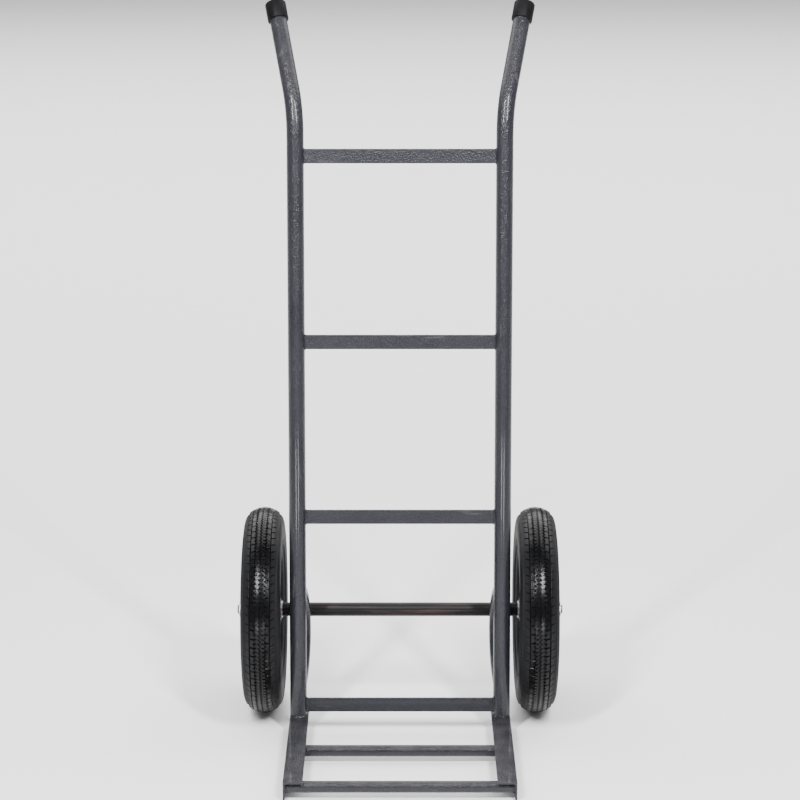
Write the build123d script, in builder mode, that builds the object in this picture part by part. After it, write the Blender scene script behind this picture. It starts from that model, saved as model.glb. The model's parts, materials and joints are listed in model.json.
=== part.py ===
from build123d import *
import math
import os

# Hand truck, millimetres. +X is right, +Z is up and the toe points along -Y. The origin is on the
# floor, under the middle of the whole object. Each left piece is the mirror of its right one.

# ---- frame ----
frame_width = 375.0  # over the outsides of the two side tubes
frame_lean = 6.0  # degrees, backwards from upright
tube_diameter = 28.6
tube_wall = 2.0
bend_height = 1026.0  # along the side tube, from its foot to the corner of the handle bend
bend_radius = 150.0
handle_lean = 35.0  # degrees, backwards from upright
handle_flare = 10.2  # degrees, outwards
handle_length = 199.0  # from the corner of the bend to the end of the tube

cap_wall = 3.2
cap_depth = 29.0  # length of tube inside the cap
cap_end = 3.4
cap_round = 2.6

bar_height = 24.0  # flat crossbars
bar_thickness = 4.8
bar_edge_round = 0.8
bar_places = {  # along the side tube, from its foot to the middle of each bar
    "foot_crossbar": 17.0,
    "lower_crossbar": 343.5,
    "upper_crossbar": 641.0,
    "top_crossbar": 950.5,
}

# ---- toe ----
rail_size = 31.75  # equal legs of the angle section
rail_thickness = 3.2
rail_root_round = 3.5
rail_toe_round = 1.2
rail_heel = 16.0  # behind the foot of the side tube
toe_depth = 292.5  # from the foot of the side tube to the front of the rails
toe_bar_diameter = 19.05
toe_middle_place = 130.3  # in front of the foot of the side tube
toe_front_inset = 13.3  # from the front of the rails to the middle of the front bar

# ---- axle ----
axle_setback = 122.0  # behind the foot of the side tube
axle_tube_diameter = 24.0
rod_diameter = 16.0
rod_slip = 0.2  # radial, rod in the axle tube
rod_end_chamfer = 1.2
thread_slip = 0.02  # radial, nuts, washers and races on the rod
washer_diameter = 29.0
washer_thickness = 2.5
nut_flats = 24.0
nut_height = 13.0
nut_chamfer = 1.2
rod_past_nut = 3.0

bracket_diameter = 22.2
bracket_wall = 2.0
bracket_low = 44.0  # where the bracket meets the side tube, from the tube's foot
bracket_high = 216.0
bracket_toe_in = 5.0  # degrees, towards the middle
bracket_saddle = 0.8  # how deep the axle tube sits in the bracket

# ---- wheels ----
tyre_diameter = 356.4
tyre_width = 68.0
tyre_crown_drop = 10.5  # from the crown to the shoulder
tyre_shoulder = 27.0  # from the middle of the tread to the shoulder
tyre_belly = 3.0  # widest ring, out from halfway between the rim and the crown
shoulder_round = 5.0
bead_width = 6.0
bead_height = 14.3
tread_thickness = 7.2
sidewall_thickness = 5.0
wheel_side_gap = 14.0  # from the side tube to the tyre
tube_rubber = 2.0  # inner tube
tube_slip = 0.3  # inner tube to tyre and rim

rim_sheet = 2.0
rim_seat_diameter = 203.2  # middle of the sheet, at the bead seat
rim_seat_rise = 12.6  # from the well up to the bead seat
rim_seat_width = 9.0
rim_well = 16.0  # half of the well, from the middle of the wheel
rim_flange = 11.5
rim_lip = 4.0
rim_half_width = 28.0  # from the middle of the wheel to the flange
rim_corner = 3.2
bead_slip = 0.15

hub_length = 56.0
hub_wall = 4.0  # around a bearing
bearing_shoulder = 2.0  # radial, behind a bearing
hub_flange_diameter = 104.0
hub_flange_thickness = 4.0
rim_hub_slip = 0.2

bearing_bore_slip = 0.02
bearing_diameter = 35.0
bearing_width = 11.0
bearing_proud = 0.5  # race past the end of the hub
race_wall = 2.65  # of each race, beside the balls
race_groove = 0.7  # how deep the balls sit in each race
ball_count = 8
ball_slip = 0.05
shield_thickness = 0.8
shield_inset = 0.4
shield_slip = 0.25
spacer_wall = 2.2

bolt_circle = 76.0
bolt_count = 4
bolt_turn = 45.0  # degrees, first bolt from the valve
bolt_diameter = 8.0
bolt_slip = 0.25
bolt_head_flats = 13.0
bolt_head_height = 5.3
rim_nut_height = 6.5
rim_washer_diameter = 16.0
rim_washer_thickness = 1.6
bolt_past_nut = 2.0

valve_diameter = 7.7
valve_length = 31.0
valve_place = 7.0  # from the middle of the wheel, outwards
valve_base_diameter = 12.6
valve_base_thickness = 1.5
valve_slip = 0.3
valve_cap_diameter = 9.4
valve_cap_length = 11.0
valve_thread_length = 9.0

# ---- worked out from the sizes above ----
tube_radius = tube_diameter / 2
tube_x = frame_width / 2 - tube_radius
tyre_radius = tyre_diameter / 2
wheel_x = frame_width / 2 + wheel_side_gap + tyre_width / 2
foot_y = (toe_depth - axle_setback - tyre_radius) / 2
axle_y = foot_y + axle_setback
axle_z = tyre_radius
lean = math.radians(frame_lean)
along_tube = Vector(0, math.sin(lean), math.cos(lean))
behind_tube = Vector(0, math.cos(lean), -math.sin(lean))
race_end = hub_length / 2 + bearing_proud  # outer end of each race, from the middle of the wheel
washer_end = race_end + washer_thickness
nut_end = washer_end + nut_height
axle_tube_half = wheel_x - washer_end
rod_half = wheel_x + nut_end + rod_past_nut
rod_fit_radius = rod_diameter / 2 + thread_slip
hub_diameter = bearing_diameter + 2 * hub_wall
hub_bore = bearing_diameter - 2 * bearing_shoulder
race_inner_land = rod_diameter + 2 * race_wall
race_outer_land = bearing_diameter - 2 * race_wall
bearing_place = race_end - bearing_width / 2
ball_track = (race_inner_land + race_outer_land) / 4
ball_diameter = (race_outer_land - race_inner_land) / 2 + 2 * race_groove
tyre_belly_radius = (tyre_radius + rim_seat_diameter / 2) / 2 + tyre_belly
cavity_shoulder = tyre_shoulder - sidewall_thickness
cavity_shoulder_radius = tyre_radius - tyre_crown_drop - sidewall_thickness
sides = {"left": -1, "right": 1}

os.makedirs("parts", exist_ok=True)


def save(part, name):
    part.label = name
    export_step(part, f"parts/{name}.step")


# ---- places ----


def foot(side):
    """Middle of a side tube's foot, on top of its toe rail."""
    return Vector(side * tube_x, foot_y, rail_size)


def across_tube(side, height=0.0):
    """Plane square to a side tube, at a height along it."""
    return Plane(origin=foot(side) + along_tube * height, x_dir=(1, 0, 0), z_dir=along_tube)


def wheel_centre(side):
    return Vector(side * wheel_x, axle_y, axle_z)


def wheel_section(side):
    """Half section of a wheel: x runs outwards along the axle, y is the radius."""
    return Plane(origin=wheel_centre(side), x_dir=(side, 0, 0), z_dir=(0, -side, 0))


def wheel_axis(side):
    return Axis(wheel_centre(side), (side, 0, 0))


def across_axle(side, out=0.0):
    """Plane square to the axle, a distance outwards from the middle of the wheel."""
    origin = wheel_centre(side) + Vector(side * out, 0, 0)
    return Plane(origin=origin, x_dir=(0, 0, 1), z_dir=(side, 0, 0))


def bolt_places():
    return PolarLocations(bolt_circle / 2, bolt_count, start_angle=bolt_turn)


def valve_plane(side):
    """Plane through the axle's height, square to the valve stem, which points at the tread."""
    origin = wheel_centre(side) + Vector(side * valve_place, 0, 0)
    return Plane(origin=origin, x_dir=(1, 0, 0), z_dir=(0, 0, 1))


# ---- frame pieces ----


def side_tube(side):
    corner = foot(side) + along_tube * bend_height
    flare = math.tan(math.radians(handle_flare))
    tilt = math.radians(handle_lean)
    grip = Vector(side * flare, math.sin(tilt), math.cos(tilt)).normalized()
    with BuildPart() as tube:
        with BuildLine():
            FilletPolyline(
                foot(side) - along_tube * tube_diameter,
                corner,
                corner + grip * handle_length,
                radius=bend_radius,
            )
        with BuildSketch(across_tube(side, -tube_diameter)):
            Circle(tube_radius)
            Circle(tube_radius - tube_wall, mode=Mode.SUBTRACT)
        sweep()
        split(bisect_by=Plane.XY.offset(rail_size), keep=Keep.TOP)
    return tube.part, Plane(origin=corner + grip * handle_length, z_dir=grip)


def handle_cap(tube_end):
    cap_radius = tube_radius + cap_wall
    with BuildPart() as cap:
        with BuildSketch(tube_end.offset(-cap_depth)):
            Circle(cap_radius)
        extrude(amount=cap_depth + cap_end)
        fillet(cap.edges().sort_by(Axis(tube_end.origin, tube_end.z_dir))[-1], cap_round)
        with BuildSketch(tube_end.offset(-cap_depth)):
            Circle(tube_radius)
        extrude(amount=cap_depth, mode=Mode.SUBTRACT)
    return cap.part


def crossbar(height):
    middle = Vector(0, foot_y, rail_size) + along_tube * height
    with BuildPart() as bar:
        with BuildSketch(Plane(origin=middle, x_dir=(1, 0, 0), z_dir=behind_tube)):
            Rectangle(2 * tube_x, bar_height)
        extrude(amount=bar_thickness / 2, both=True)
        fillet(bar.edges().filter_by(Axis.X), bar_edge_round)
        # The ends are coped to the side tubes.
        with BuildSketch(across_tube(-1), across_tube(1)):
            Circle(tube_radius)
        extrude(amount=bend_height, mode=Mode.SUBTRACT)
    return bar.part


def toe_rail(side):
    outer = side * frame_width / 2
    inward = -side * rail_thickness
    with BuildPart() as rail:
        with BuildSketch(Plane(origin=(0, foot_y + rail_heel, 0), x_dir=(1, 0, 0), z_dir=(0, -1, 0))):
            with BuildLine():
                Polyline(
                    (outer, 0),
                    (outer, rail_size),
                    (outer - side * rail_size, rail_size),
                    (outer - side * rail_size, rail_size - rail_thickness),
                    (outer + inward, rail_size - rail_thickness),
                    (outer + inward, 0),
                    close=True,
                )
            make_face()
        extrude(amount=rail_heel + toe_depth)
        long_edges = rail.edges().filter_by(Axis.Y)
        root = long_edges.sort_by_distance(Vector(outer + inward, foot_y, rail_size - rail_thickness))[0]
        lower_tip = long_edges.sort_by_distance(Vector(outer + inward, foot_y, 0))[0]
        inner_tip = long_edges.sort_by_distance(
            Vector(outer - side * rail_size, foot_y, rail_size - rail_thickness)
        )[0]
        fillet(root, rail_root_round)
        fillet([lower_tip, inner_tip], rail_toe_round)
    return rail.part


def toe_bar(forward):
    """Round bar square across the toe, under the top legs of the rails and between the others."""
    half = frame_width / 2 - rail_thickness
    height = rail_size - rail_thickness - toe_bar_diameter / 2
    with BuildPart() as bar:
        with BuildSketch(Plane(origin=(0, foot_y - forward, height), x_dir=(0, 1, 0), z_dir=(1, 0, 0))):
            Circle(toe_bar_diameter / 2)
        extrude(amount=half, both=True)
        # The ends clear the rounded root of each rail.
        chamfer(bar.edges().filter_by(GeomType.CIRCLE), rail_root_round)
    return bar.part


def bracket_middle():
    """How far behind the side tube's line the bracket's circle is centred, so that it meets both the
    side tube at its two heights and the front of the axle tube."""
    half_span = (bracket_high - bracket_low) / 2
    axle = Vector(0, axle_setback, axle_z - rail_size)
    behind = axle.dot(behind_tube)
    above = axle.dot(along_tube) - (bracket_high + bracket_low) / 2
    reach = (bracket_diameter + axle_tube_diameter) / 2 - bracket_saddle
    rest = behind**2 + above**2 - half_span**2 - reach**2
    a = 4 * (behind**2 - reach**2)
    b = -4 * behind * rest
    c = rest**2 - 4 * (reach * half_span) ** 2
    return (-b - math.sqrt(b**2 - 4 * a * c)) / (2 * a)


def axle_bracket(side):
    toe_in = math.radians(bracket_toe_in)
    backwards = behind_tube * math.cos(toe_in) - Vector(side, 0, 0) * math.sin(toe_in)
    bracket_plane = Plane(origin=foot(side), x_dir=backwards, z_dir=backwards.cross(along_tube))
    middle = (bracket_low + bracket_high) / 2
    centre = bracket_middle()
    radius = math.hypot(centre, (bracket_high - bracket_low) / 2)
    with BuildPart() as bracket:
        with BuildLine(bracket_plane) as bow:
            ThreePointArc((0, bracket_low), (centre + radius, middle), (0, bracket_high))
        with BuildSketch(Plane(origin=bow.line @ 0, z_dir=bow.line % 0)):
            Circle(bracket_diameter / 2)
            Circle(bracket_diameter / 2 - bracket_wall, mode=Mode.SUBTRACT)
        sweep()
        # Coped to the side tube at both ends, and saddled on the axle tube.
        with BuildSketch(across_tube(side, bracket_low - bracket_diameter * 2)):
            Circle(tube_radius)
        extrude(amount=bracket_high - bracket_low + bracket_diameter * 4, mode=Mode.SUBTRACT)
        with BuildSketch(Plane(origin=(0, axle_y, axle_z), z_dir=(side, 0, 0))):
            Circle(axle_tube_diameter / 2)
        extrude(amount=frame_width, mode=Mode.SUBTRACT)
    return bracket.part


def axle_tube():
    with BuildPart() as tube:
        with BuildSketch(Plane(origin=(0, axle_y, axle_z), x_dir=(0, 1, 0), z_dir=(1, 0, 0))):
            Circle(axle_tube_diameter / 2)
            Circle(rod_diameter / 2 + rod_slip, mode=Mode.SUBTRACT)
        extrude(amount=axle_tube_half, both=True)
    return tube.part


def axle_rod():
    with BuildPart() as rod:
        with BuildSketch(Plane(origin=(0, axle_y, axle_z), x_dir=(0, 1, 0), z_dir=(1, 0, 0))):
            Circle(rod_diameter / 2)
        extrude(amount=rod_half, both=True)
        chamfer(rod.edges().filter_by(GeomType.CIRCLE), rod_end_chamfer)
    return rod.part


def axle_nut(side):
    with BuildPart() as nut:
        with BuildSketch(across_axle(side, washer_end)):
            RegularPolygon(nut_flats / 2, 6, major_radius=False)
        extrude(amount=nut_height)
        chamfer(nut.faces().sort_by(Axis.X)[-1 if side > 0 else 0].edges(), nut_chamfer)
        with BuildSketch(across_axle(side, washer_end)):
            Circle(rod_fit_radius)
        extrude(amount=nut_height, mode=Mode.SUBTRACT)
    return nut.part


def axle_ring(side, out, width, radius):
    """A plain ring on the axle rod, from a distance outwards from the middle of the wheel."""
    with BuildPart() as ring:
        with BuildSketch(across_axle(side, out)):
            Circle(radius)
            Circle(rod_fit_radius, mode=Mode.SUBTRACT)
        extrude(amount=width)
    return ring.part


# ---- wheels ----


def bearing_race(side, out, inside, outside):
    """One race of a bearing whose middle is a distance outwards from the middle of the wheel."""
    with BuildPart() as race:
        with BuildSketch(wheel_section(side)):
            with Locations((out, (inside + outside) / 2)):
                Rectangle(bearing_width, outside - inside)
            with Locations((out, ball_track)):
                Circle(ball_diameter / 2 + ball_slip, mode=Mode.SUBTRACT)
        revolve(axis=wheel_axis(side))
    return race.part


def bearing_balls(side, out):
    with BuildPart() as balls:
        with Locations(across_axle(side, out)):
            with PolarLocations(ball_track, ball_count):
                Sphere(ball_diameter / 2)
    return balls.part


def bearing_shields(side):
    with BuildPart() as shields:
        for bearing in (-bearing_place, bearing_place):
            for face in (-1, 1):
                with BuildSketch(wheel_section(side)):
                    middle = bearing + face * (bearing_width / 2 - shield_inset - shield_thickness / 2)
                    inside = race_inner_land / 2 + shield_slip
                    outside = race_outer_land / 2
                    with Locations((middle, (inside + outside) / 2)):
                        Rectangle(shield_thickness, outside - inside)
                revolve(axis=wheel_axis(side))
    return shields.part


def hub(side):
    with BuildPart() as hub_body:
        with BuildSketch(wheel_section(side)):
            with Locations((0, (hub_bore + hub_diameter) / 4)):
                Rectangle(hub_length, (hub_diameter - hub_bore) / 2)
            flange_middle = rim_sheet + hub_flange_thickness / 2
            with Locations((flange_middle, (hub_diameter + hub_flange_diameter) / 4)):
                Rectangle(hub_flange_thickness, (hub_flange_diameter - hub_diameter) / 2)
            # A seat for a bearing at each end.
            seat = bearing_width - bearing_proud
            with Locations((-(hub_length - seat) / 2, 0), ((hub_length - seat) / 2, 0)):
                Rectangle(seat, bearing_diameter + 2 * bearing_bore_slip, mode=Mode.SUBTRACT)
        revolve(axis=wheel_axis(side))
        with BuildSketch(across_axle(side)):
            with bolt_places():
                Circle(bolt_diameter / 2 + bolt_slip)
        extrude(amount=hub_length / 2, mode=Mode.SUBTRACT)
    return hub_body.part


def rim_half(side, face):
    """Pressed half of a wheel rim. Its disc lies against its mate at the middle of the wheel."""
    seat_radius = rim_seat_diameter / 2
    well_radius = seat_radius - rim_seat_rise
    with BuildPart() as rim:
        with BuildSketch(wheel_section(side)):
            with BuildLine():
                FilletPolyline(
                    (face * rim_sheet / 2, hub_diameter / 2 + rim_hub_slip),
                    (face * rim_sheet / 2, well_radius),
                    (face * rim_well, well_radius),
                    (face * (rim_half_width - rim_seat_width), seat_radius),
                    (face * rim_half_width, seat_radius),
                    (face * rim_half_width, seat_radius + rim_flange),
                    (face * (rim_half_width + rim_lip), seat_radius + rim_flange + rim_lip / 3),
                    radius=rim_corner,
                )
            trace(line_width=rim_sheet)
        revolve(axis=wheel_axis(side))
        with BuildSketch(across_axle(side)):
            with bolt_places():
                Circle(bolt_diameter / 2 + bolt_slip)
        extrude(amount=rim_sheet, both=True, mode=Mode.SUBTRACT)
        if face > 0:
            with BuildSketch(valve_plane(side)):
                Circle(valve_diameter / 2 + valve_slip)
            extrude(amount=seat_radius, mode=Mode.SUBTRACT)
    return rim.part


def tyre(side):
    bead_radius = rim_seat_diameter / 2 + rim_sheet / 2 + bead_slip
    bead_out = rim_half_width - rim_sheet / 2 - bead_slip
    bead_in = bead_out - bead_width
    shoulder_radius = tyre_radius - tyre_crown_drop
    with BuildPart() as casing:
        with BuildSketch(wheel_section(side)) as section:
            with BuildLine():
                for hand in (-1, 1):
                    ThreePointArc(
                        (hand * tyre_shoulder, shoulder_radius),
                        (hand * tyre_width / 2, tyre_belly_radius),
                        (hand * bead_out, bead_radius + bead_height),
                    )
                    Polyline(
                        (hand * bead_out, bead_radius + bead_height),
                        (hand * bead_out, bead_radius),
                        (hand * bead_in, bead_radius),
                        (hand * bead_in, bead_radius + bead_width),
                    )
                    ThreePointArc(
                        (hand * bead_in, bead_radius + bead_width),
                        (hand * (tyre_width / 2 - sidewall_thickness), tyre_belly_radius),
                        (hand * cavity_shoulder, cavity_shoulder_radius),
                    )
                ThreePointArc(
                    (-tyre_shoulder, shoulder_radius), (0, tyre_radius), (tyre_shoulder, shoulder_radius)
                )
                ThreePointArc(
                    (-cavity_shoulder, cavity_shoulder_radius),
                    (0, tyre_radius - tread_thickness),
                    (cavity_shoulder, cavity_shoulder_radius),
                )
            make_face()
            fillet(section.vertices().group_by(Axis.Y)[-1], shoulder_round)
            # The heel of each bead follows the rounded corner of the rim.
            corners = section.vertices()
            heels = [corners.sort_by_distance((hand * bead_out, bead_radius, 0))[0] for hand in (-1, 1)]
            fillet(heels, rim_corner - rim_sheet / 2)
        revolve(axis=wheel_axis(side))
    return casing.part


def inner_tube(side):
    well_radius = rim_seat_diameter / 2 - rim_seat_rise + rim_sheet / 2
    low = (rim_well - rim_sheet - tube_slip, well_radius + tube_slip)
    knee = (
        rim_half_width - rim_sheet / 2 - bead_slip - bead_width - 2 * tube_slip,
        rim_seat_diameter / 2 + rim_sheet / 2 + bead_slip + bead_width,
    )
    with BuildPart() as tube:
        with BuildSketch(wheel_section(side)):
            with BuildLine():
                for hand in (-1, 1):
                    Line((hand * low[0], low[1]), (hand * knee[0], knee[1]))
                    ThreePointArc(
                        (hand * knee[0], knee[1]),
                        (hand * (tyre_width / 2 - sidewall_thickness - tube_slip), tyre_belly_radius),
                        (hand * (cavity_shoulder - tube_slip), cavity_shoulder_radius - tube_slip),
                    )
                Line((-low[0], low[1]), low)
                ThreePointArc(
                    (-cavity_shoulder + tube_slip, cavity_shoulder_radius - tube_slip),
                    (0, tyre_radius - tread_thickness - tube_slip),
                    (cavity_shoulder - tube_slip, cavity_shoulder_radius - tube_slip),
                )
            outline = make_face()
            offset(outline, amount=-tube_rubber, mode=Mode.SUBTRACT)
        revolve(axis=wheel_axis(side))
        # The foot of the valve stem is bonded into the wall.
        with BuildSketch(valve_plane(side).offset(well_radius)):
            Circle(valve_base_diameter / 2)
        extrude(amount=valve_base_thickness + valve_slip, mode=Mode.SUBTRACT)
    return tube.part


def valve_stem(side):
    base_radius = rim_seat_diameter / 2 - rim_seat_rise + rim_sheet / 2 + valve_slip
    with BuildPart() as stem:
        with BuildSketch(valve_plane(side).offset(base_radius)):
            Circle(valve_base_diameter / 2)
        extrude(amount=valve_base_thickness)
        with BuildSketch(valve_plane(side).offset(base_radius)):
            Circle(valve_diameter / 2)
        extrude(amount=-valve_length)
    return stem.part


def valve_cap(side):
    tip = rim_seat_diameter / 2 - rim_seat_rise + rim_sheet / 2 + valve_slip - valve_length
    crown = valve_cap_length - valve_thread_length
    with BuildPart() as cap:
        with BuildSketch(valve_plane(side).offset(tip + valve_thread_length)):
            Circle(valve_cap_diameter / 2)
        extrude(amount=-valve_cap_length)
        fillet(cap.edges().filter_by(GeomType.CIRCLE).sort_by(Axis.Z)[0], crown / 2)
        with BuildSketch(valve_plane(side).offset(tip)):
            Circle(valve_diameter / 2 + thread_slip)
        extrude(amount=valve_thread_length, mode=Mode.SUBTRACT)
    return cap.part


def rim_bolts(side):
    under_head = rim_sheet + hub_flange_thickness
    with BuildPart() as bolts:
        with BuildSketch(across_axle(side, under_head)):
            with bolt_places():
                RegularPolygon(bolt_head_flats / 2, 6, major_radius=False)
        extrude(amount=bolt_head_height)
        with BuildSketch(across_axle(side, under_head)):
            with bolt_places():
                Circle(bolt_diameter / 2)
        grip = under_head + rim_sheet + rim_washer_thickness + rim_nut_height
        extrude(amount=-grip - bolt_past_nut)
    return bolts.part


def rim_washers(side):
    with BuildPart() as washers:
        with BuildSketch(across_axle(side, -rim_sheet)):
            with bolt_places():
                Circle(rim_washer_diameter / 2)
                Circle(bolt_diameter / 2 + bolt_slip, mode=Mode.SUBTRACT)
        extrude(amount=-rim_washer_thickness)
    return washers.part


def rim_nuts(side):
    with BuildPart() as nuts:
        with BuildSketch(across_axle(side, -rim_sheet - rim_washer_thickness)):
            with bolt_places():
                RegularPolygon(bolt_head_flats / 2, 6, major_radius=False)
                Circle(bolt_diameter / 2 + thread_slip, mode=Mode.SUBTRACT)
        extrude(amount=-rim_nut_height)
    return nuts.part


# ---- make every piece ----

for name, height in bar_places.items():
    save(crossbar(height), name)
save(toe_bar(toe_middle_place), "toe_middle_bar")
save(toe_bar(toe_depth - toe_front_inset), "toe_front_bar")
save(axle_tube(), "axle_tube")
save(axle_rod(), "axle_rod")

for hand, side in sides.items():
    tube, tube_end = side_tube(side)
    save(tube, f"{hand}_side_tube")
    save(handle_cap(tube_end), f"{hand}_handle_cap")
    save(toe_rail(side), f"{hand}_toe_rail")
    save(axle_bracket(side), f"{hand}_axle_bracket")
    for place, out in {"inboard": -washer_end, "outboard": race_end}.items():
        save(axle_ring(side, out, washer_thickness, washer_diameter / 2), f"{hand}_{place}_washer")
    save(axle_nut(side), f"{hand}_axle_nut")
    spacer_half = race_end - bearing_width
    spacer = axle_ring(side, -spacer_half, 2 * spacer_half, rod_fit_radius + spacer_wall)
    save(spacer, f"{hand}_bearing_spacer")
    for place, out in {"inboard": -bearing_place, "outboard": bearing_place}.items():
        inner = bearing_race(side, out, rod_fit_radius, race_inner_land / 2)
        save(inner, f"{hand}_{place}_inner_race")
        outer = bearing_race(side, out, race_outer_land / 2, bearing_diameter / 2)
        save(outer, f"{hand}_{place}_outer_race")
        save(bearing_balls(side, out), f"{hand}_{place}_bearing_balls")
    save(bearing_shields(side), f"{hand}_bearing_shields")
    save(hub(side), f"{hand}_hub")
    save(rim_half(side, -1), f"{hand}_inboard_rim")
    save(rim_half(side, 1), f"{hand}_outboard_rim")
    save(tyre(side), f"{hand}_tyre")
    save(inner_tube(side), f"{hand}_inner_tube")
    save(valve_stem(side), f"{hand}_valve_stem")
    save(valve_cap(side), f"{hand}_valve_cap")
    save(rim_bolts(side), f"{hand}_rim_bolts")
    save(rim_washers(side), f"{hand}_rim_washers")
    save(rim_nuts(side), f"{hand}_rim_nuts")
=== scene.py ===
"""Hand truck: tyres, welds, fasteners, caps and finishes, made round the fixed frame.

Everything is in metres. X is across the truck, Y runs from the toe to the wheels and Z is up.
"""

import json
import math
import random

import bmesh
import bpy
from bpy.props import FloatProperty, FloatVectorProperty, IntProperty, PointerProperty
from mathutils import Matrix, Vector


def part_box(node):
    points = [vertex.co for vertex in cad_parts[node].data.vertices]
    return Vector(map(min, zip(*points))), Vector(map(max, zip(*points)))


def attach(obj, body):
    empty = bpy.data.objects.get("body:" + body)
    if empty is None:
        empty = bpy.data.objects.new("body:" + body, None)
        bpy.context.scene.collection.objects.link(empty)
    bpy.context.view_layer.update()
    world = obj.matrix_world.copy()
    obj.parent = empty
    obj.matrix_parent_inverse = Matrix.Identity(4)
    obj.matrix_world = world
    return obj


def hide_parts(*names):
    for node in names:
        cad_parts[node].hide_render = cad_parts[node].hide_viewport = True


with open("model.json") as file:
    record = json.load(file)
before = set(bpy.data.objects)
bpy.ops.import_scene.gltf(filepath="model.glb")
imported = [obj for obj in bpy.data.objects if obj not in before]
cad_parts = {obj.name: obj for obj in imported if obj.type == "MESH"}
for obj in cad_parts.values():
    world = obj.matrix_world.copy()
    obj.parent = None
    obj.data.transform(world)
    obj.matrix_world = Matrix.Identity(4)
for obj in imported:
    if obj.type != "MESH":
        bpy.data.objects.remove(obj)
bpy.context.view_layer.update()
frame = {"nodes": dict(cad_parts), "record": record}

bl_info = {
    "name": "Hand truck",
    "version": (1, 0, 0),
    "blender": (4, 5, 0),
    "location": "3D View > Sidebar > Hand truck",
    "description": "Builds the tyres, welds, fasteners, caps, finishes and stage of a hand truck",
    "category": "Object",
}

SIDES = {"left": -1, "right": 1}
CROSSBARS = ("foot_crossbar", "lower_crossbar", "upper_crossbar", "top_crossbar")
TOE_BARS = ("toe_middle_bar", "toe_front_bar")
MERGE = 0.00001  # points nearer than this are one point
SMOOTH_ANGLE = math.radians(35)


# ---- places read from the frame ----


def middle(node):
    low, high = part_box(node)
    return (low + high) / 2


RAIL_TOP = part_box("right_toe_rail")[1].z
ALONG_TUBE = (middle("top_crossbar") - middle("foot_crossbar")).normalized()
BEHIND_TUBE = Vector((0, ALONG_TUBE.z, -ALONG_TUBE.y))
TUBE_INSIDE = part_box("right_side_tube")[0].x  # nearest that the side tube comes to the middle


def tube_foot(side, tube_radius):
    """Middle of a side tube's foot, on top of its toe rail."""
    bar = middle("foot_crossbar")
    foot = bar - ALONG_TUBE * ((bar.z - RAIL_TOP) / ALONG_TUBE.z)
    foot.x = side * (TUBE_INSIDE + tube_radius)
    return foot


def mirrored(point, side):
    """A point of the right-hand side, on the side given by -1 or 1."""
    return Vector((side * point.x, point.y, point.z))


# ---- sizes and colours that a user would change ----


def length(label, about, default):
    return FloatProperty(
        name=label, description=about, default=default, min=0, unit="LENGTH", precision=4
    )


def number(label, about, default):
    return FloatProperty(name=label, description=about, default=default, min=0)


def angle(label, about, degrees):
    return FloatProperty(name=label, description=about, default=math.radians(degrees), subtype="ANGLE")


def colour(label, about, default):
    return FloatVectorProperty(
        name=label, description=about, default=default, min=0, max=1, size=3, subtype="COLOR"
    )


class HandTruckTyre(bpy.types.PropertyGroup):
    pitches: IntProperty(name="Pitches", description="Tread patterns round the tyre", default=72, min=24)
    tread_depth: length("Tread depth", "Depth of the grooves", 0.0030)
    edge_round: length("Edge round", "Chamfer round the top of each rib and block", 0.0005)
    groove: length("Groove", "Width of the grooves", 0.0017)
    zigzag: length("Zigzag", "How far the ribs swing to each side", 0.0016)
    rib_middle: length("Rib middle", "From the middle of the tread to where a rib's notches end", 0.0046)
    slant: number("Slant", "Lean of the slots at the shoulders", 0.55)
    rib_edge: length("Rib edge", "From the middle of the tread to the outside of a rib", 0.0082)
    block_edge: length("Block edge", "From the middle of the tread to the outside of a block", 0.0170)
    shoulder_edge: length("Shoulder edge", "From the middle to the end of the shoulder blocks", 0.0272)
    shoulder: length("Shoulder", "Half the width of the tread, straight across", 0.0270)
    crown_drop: length("Crown drop", "From the crown down to the shoulder", 0.0105)
    sidewall_round: length("Sidewall round", "Radius of the sidewall's outside", 0.0492)
    belly: length("Belly", "Radius of the widest ring", 0.1424)
    bead_out: length("Bead", "From the middle to the outside of the bead", 0.02685)
    bead_width: length("Bead width", "Thickness of the bead", 0.0060)
    bead_radius: length("Bead radius", "Radius of the bead's seat", 0.10275)
    bead_top: length("Bead top", "Radius where the sidewall leaves the rim", 0.11705)
    wall: length("Wall", "Thickness of the sidewall", 0.0050)
    cap_wall: length("Cap wall", "Thickness under the tread", 0.0072)


class HandTruckSizes(bpy.types.PropertyGroup):
    tube_radius: length("Tube radius", "Radius of the side tubes", 0.0143)
    bracket_radius: length("Bracket radius", "Radius of the bent axle brackets", 0.0111)
    bracket_low: length("Bracket low", "Where the bracket meets the tube, from its foot", 0.044)
    bracket_high: length("Bracket high", "Upper joint of the bracket, from the tube's foot", 0.216)
    bracket_toe_in: angle("Bracket toe-in", "How far the brackets turn towards the middle", 5)
    bead: length("Weld", "Half the width of a weld bead", 0.0021)
    small_bead: length("Small weld", "Half the width of the weld beads on the crossbars", 0.0016)
    ripple: length("Ripple", "Length of one ripple of a weld", 0.0017)
    cap_wall: length("Cap wall", "Thickness of the handle caps", 0.0032)
    bolt_circle: length("Bolt circle", "Radius of the circle of rim bolts", 0.038)
    bolt_flats: length("Bolt flats", "Across the flats of the rim bolts and nuts", 0.013)
    nut_flats: length("Nut flats", "Across the flats of the axle nuts", 0.024)
    bolt_radius: length("Bolt radius", "Radius of the rim bolts", 0.004)
    rod_radius: length("Rod radius", "Radius of the axle rod", 0.008)
    bolt_pitch: length("Bolt pitch", "Thread pitch of the rim bolts", 0.00125)
    rod_pitch: length("Rod pitch", "Thread pitch of the axle rod", 0.002)


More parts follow.
